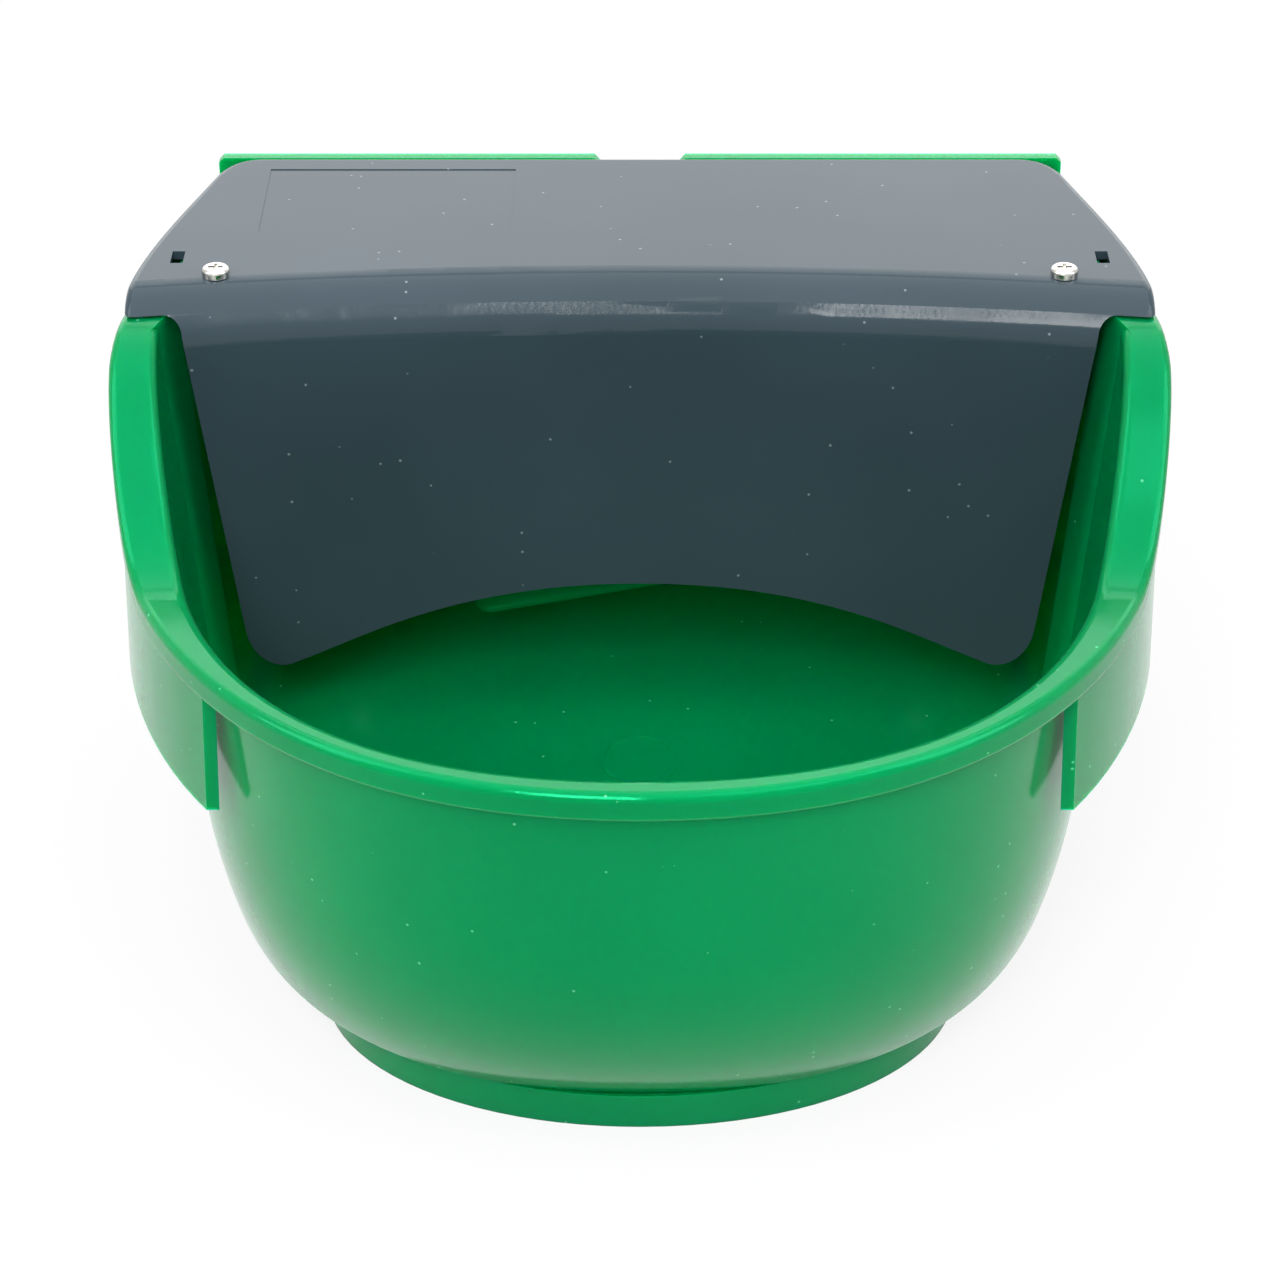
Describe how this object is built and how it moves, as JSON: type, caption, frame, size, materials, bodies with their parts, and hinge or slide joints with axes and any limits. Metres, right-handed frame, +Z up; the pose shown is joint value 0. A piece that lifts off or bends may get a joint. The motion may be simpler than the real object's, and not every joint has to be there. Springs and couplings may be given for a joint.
{
  "type": "livestock water bowl",
  "caption": "Wall-mounted plastic drinking bowl with a screwed-on cover and splash flap over a float valve that keeps the water level.",
  "frame": {"origin": "floor level under the middle of the bowl's width and depth: the centre of the bottom of its box", "axes": "+X to the right when facing the bowl, along its longest extent; +Y towards the wall; +Z up, along its shortest extent"},
  "size_m": [0.302, 0.277, 0.1826],
  "materials": {
    "green_plastic": "glossy moulded green plastic",
    "grey_plastic": "glossy dark slate moulded plastic",
    "stainless": "bright stainless steel",
    "brass": "machined brass",
    "rubber": "black rubber",
    "white_plastic": "natural white plastic",
    "black_plastic": "black plastic"
  },
  "bodies": {
    "base": {"bowl": "green_plastic", "cover": "grey_plastic", "cover_screws": "stainless", "valve_body": "brass", "valve_nozzle": "stainless", "inlet_strainer": "stainless", "inlet_gaskets": "rubber", "inlet_lock_nut": "brass", "blanking_plug": "black_plastic", "plug_gasket": "rubber", "plug_nut": "black_plastic", "lever_pin": "stainless", "pin_clip": "stainless"},
    "float_lever": {"valve_lever": "brass", "float_arm": "stainless", "arm_screw": "stainless", "arm_wing_nut": "brass", "float_shell": "green_plastic", "float_lid": "green_plastic", "float_screws": "stainless"},
    "piston": {"valve_piston": "white_plastic", "piston_seal": "rubber"}
  },
  "joints": [
    {"name": "float_lever_hinge", "type": "hinge", "parent": "base", "child": "float_lever", "pos_m": [0.088, 0.0985, 0.126], "axis": [0, 1, 0], "range_deg": [0, 15]},
    {"name": "piston_slide", "type": "slide", "parent": "base", "child": "piston", "axis": [1, 0, 0], "range_m": [0, 0.0029]}
  ],
  "couplings": [
    {"joint": "piston_slide", "follows": "float_lever_hinge", "m_per_rad": 0.011}
  ]
}
